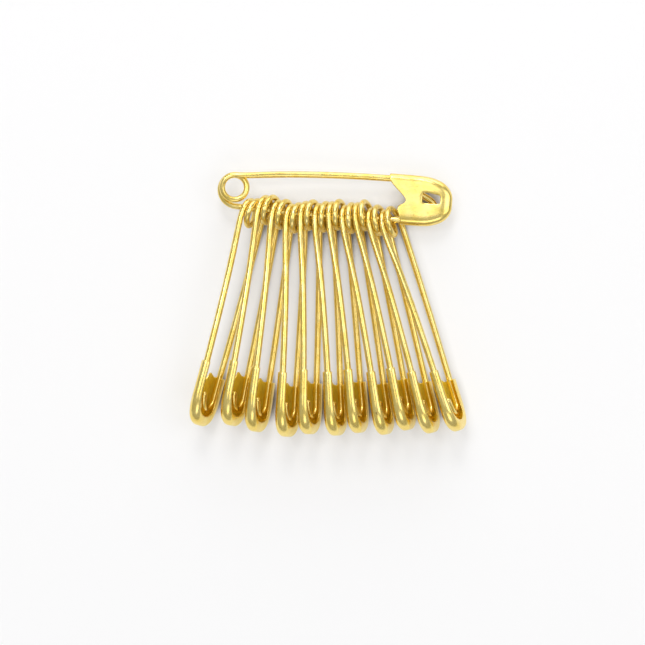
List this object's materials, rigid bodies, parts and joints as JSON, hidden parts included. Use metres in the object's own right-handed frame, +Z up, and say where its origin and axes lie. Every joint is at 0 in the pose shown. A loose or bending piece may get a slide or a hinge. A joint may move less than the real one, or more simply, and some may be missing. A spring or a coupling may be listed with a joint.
{
  "type": "safety pin bunch",
  "caption": "Brass safety pins with sheet caps, threaded by their spring coils on the back wire of one more pin; each needle unhooks and each hung pin swings.",
  "frame": {"origin": "middle of the footprint of the whole bunch, on the plane it lies on", "axes": "+Z up off that plane, +X along the carrier pin from its coil to its cap, +Y away from the hung pins' caps"},
  "size_m": [0.0596, 0.0572, 0.0112],
  "materials": {
    "wire": "polished",
    "cap": "polished"
  },
  "bodies": {
    "carrier": {"carrier_back_wire": "wire", "carrier_cap": "cap"},
    "carrier_needle": {"carrier_needle": "wire"},
    "hung_pin_01": {"hung_pin_01_back_wire": "wire", "hung_pin_01_cap": "cap"},
    "hung_pin_01_needle": {"hung_pin_01_needle": "wire"},
    "hung_pin_02": {"hung_pin_02_back_wire": "wire", "hung_pin_02_cap": "cap"},
    "hung_pin_02_needle": {"hung_pin_02_needle": "wire"},
    "hung_pin_03": {"hung_pin_03_back_wire": "wire", "hung_pin_03_cap": "cap"},
    "hung_pin_03_needle": {"hung_pin_03_needle": "wire"},
    "hung_pin_04": {"hung_pin_04_back_wire": "wire", "hung_pin_04_cap": "cap"},
    "hung_pin_04_needle": {"hung_pin_04_needle": "wire"},
    "hung_pin_05": {"hung_pin_05_back_wire": "wire", "hung_pin_05_cap": "cap"},
    "hung_pin_05_needle": {"hung_pin_05_needle": "wire"},
    "hung_pin_06": {"hung_pin_06_back_wire": "wire", "hung_pin_06_cap": "cap"},
    "hung_pin_06_needle": {"hung_pin_06_needle": "wire"},
    "hung_pin_07": {"hung_pin_07_back_wire": "wire", "hung_pin_07_cap": "cap"},
    "hung_pin_07_needle": {"hung_pin_07_needle": "wire"},
    "hung_pin_08": {"hung_pin_08_back_wire": "wire", "hung_pin_08_cap": "cap"},
    "hung_pin_08_needle": {"hung_pin_08_needle": "wire"},
    "hung_pin_09": {"hung_pin_09_back_wire": "wire", "hung_pin_09_cap": "cap"},
    "hung_pin_09_needle": {"hung_pin_09_needle": "wire"},
    "hung_pin_10": {"hung_pin_10_back_wire": "wire", "hung_pin_10_cap": "cap"},
    "hung_pin_10_needle": {"hung_pin_10_needle": "wire"},
    "hung_pin_11": {"hung_pin_11_back_wire": "wire", "hung_pin_11_cap": "cap"},
    "hung_pin_11_needle": {"hung_pin_11_needle": "wire"}
  },
  "joints": [
    {"name": "carrier_needle_hinge", "type": "hinge", "parent": "carrier", "child": "carrier_needle", "pos_m": [-0.01863, 0.02773, 0.00575], "axis": [0.9776, 0.1203, 0.1728], "range_deg": [0, 70]},
    {"name": "hung_pin_01_swing", "type": "hinge", "parent": "carrier", "child": "hung_pin_01", "pos_m": [-0.01646, 0.01949, 0.00408], "axis": [-0.8908, 0.232, -0.3907], "range_deg": [0, 45]},
    {"name": "hung_pin_01_needle_hinge", "type": "hinge", "parent": "hung_pin_01", "child": "hung_pin_01_needle", "pos_m": [-0.01878, 0.01888, 0.00621], "axis": [-0.4794, -0.867, 0.1359], "range_deg": [0, 70]},
    {"name": "hung_pin_02_swing", "type": "hinge", "parent": "carrier", "child": "hung_pin_02", "pos_m": [-0.01308, 0.02017, 0.00412], "axis": [-0.9122, 0.1658, -0.3746], "range_deg": [0, 45]},
    {"name": "hung_pin_02_needle_hinge", "type": "hinge", "parent": "hung_pin_02", "child": "hung_pin_02_needle", "pos_m": [-0.0153, 0.01939, 0.00629], "axis": [-0.4106, -0.901, 0.14], "range_deg": [0, 70]},
    {"name": "hung_pin_03_swing", "type": "hinge", "parent": "carrier", "child": "hung_pin_03", "pos_m": [-0.01017, 0.01919, 0.00419], "axis": [-0.9289, 0.1206, -0.3502], "range_deg": [0, 45]},
    {"name": "hung_pin_03_needle_hinge", "type": "hinge", "parent": "hung_pin_03", "child": "hung_pin_03_needle", "pos_m": [-0.01229, 0.01828, 0.0064], "axis": [-0.3607, -0.9212, 0.146], "range_deg": [0, 70]},
    {"name": "hung_pin_04_swing", "type": "hinge", "parent": "carrier", "child": "hung_pin_04", "pos_m": [-0.00719, 0.01838, 0.00424], "axis": [-0.9426, 0.0478, -0.3305], "range_deg": [0, 45]},
    {"name": "hung_pin_04_needle_hinge", "type": "hinge", "parent": "hung_pin_04", "child": "hung_pin_04_needle", "pos_m": [-0.00919, 0.01731, 0.0065], "axis": [-0.2841, -0.9468, 0.1508], "range_deg": [0, 70]},
    {"name": "hung_pin_05_swing", "type": "hinge", "parent": "carrier", "child": "hung_pin_05", "pos_m": [-0.00412, 0.01897, 0.00427], "axis": [-0.9477, 0.0116, -0.319], "range_deg": [0, 45]},
    {"name": "hung_pin_05_needle_hinge", "type": "hinge", "parent": "hung_pin_05", "child": "hung_pin_05_needle", "pos_m": [-0.00605, 0.01783, 0.00655], "axis": [-0.2457, -0.9571, 0.1536], "range_deg": [0, 70]},
    {"name": "hung_pin_06_swing", "type": "hinge", "parent": "carrier", "child": "hung_pin_06", "pos_m": [-0.00114, 0.01856, 0.00432], "axis": [-0.9541, -0.0467, -0.2957], "range_deg": [0, 45]},
    {"name": "hung_pin_06_needle_hinge", "type": "hinge", "parent": "hung_pin_06", "child": "hung_pin_06_needle", "pos_m": [-0.00294, 0.0173, 0.00665], "axis": [-0.1829, -0.9702, 0.1591], "range_deg": [0, 70]},
    {"name": "hung_pin_07_swing", "type": "hinge", "parent": "carrier", "child": "hung_pin_07", "pos_m": [0.00178, 0.019, 0.00437], "axis": [-0.9575, -0.0855, -0.2756], "range_deg": [0, 45]},
    {"name": "hung_pin_07_needle_hinge", "type": "hinge", "parent": "hung_pin_07", "child": "hung_pin_07_needle", "pos_m": [0.00008, 0.01767, 0.00673], "axis": [-0.1404, -0.9765, 0.1637], "range_deg": [0, 70]},
    {"name": "hung_pin_08_swing", "type": "hinge", "parent": "carrier", "child": "hung_pin_08", "pos_m": [0.00461, 0.01826, 0.00439], "axis": [-0.9528, -0.1441, -0.2672], "range_deg": [0, 45]},
    {"name": "hung_pin_08_needle_hinge", "type": "hinge", "parent": "hung_pin_08", "child": "hung_pin_08_needle", "pos_m": [0.00302, 0.01683, 0.00677], "axis": [-0.0791, -0.983, 0.1656], "range_deg": [0, 70]},
    {"name": "hung_pin_09_swing", "type": "hinge", "parent": "carrier", "child": "hung_pin_09", "pos_m": [0.00745, 0.01887, 0.00437], "axis": [-0.9436, -0.1834, -0.2756], "range_deg": [0, 45]},
    {"name": "hung_pin_09_needle_hinge", "type": "hinge", "parent": "hung_pin_09", "child": "hung_pin_09_needle", "pos_m": [0.0059, 0.01737, 0.00673], "axis": [-0.0393, -0.9857, 0.1637], "range_deg": [0, 70]},
    {"name": "hung_pin_10_swing", "type": "hinge", "parent": "carrier", "child": "hung_pin_10", "pos_m": [0.01038, 0.01773, 0.00433], "axis": [-0.9283, -0.2297, -0.2924], "range_deg": [0, 45]},
    {"name": "hung_pin_10_needle_hinge", "type": "hinge", "parent": "hung_pin_10", "child": "hung_pin_10_needle", "pos_m": [0.00886, 0.01615, 0.00666], "axis": [0.0078, -0.9871, 0.1599], "range_deg": [0, 70]},
    {"name": "hung_pin_11_swing", "type": "hinge", "parent": "carrier", "child": "hung_pin_11", "pos_m": [0.01334, 0.0174, 0.00427], "axis": [-0.9044, -0.2852, -0.3173], "range_deg": [0, 45]},
    {"name": "hung_pin_11_needle_hinge", "type": "hinge", "parent": "hung_pin_11", "child": "hung_pin_11_needle", "pos_m": [0.01187, 0.0157, 0.00656], "axis": [0.0658, -0.9859, 0.154], "range_deg": [0, 70]}
  ]
}
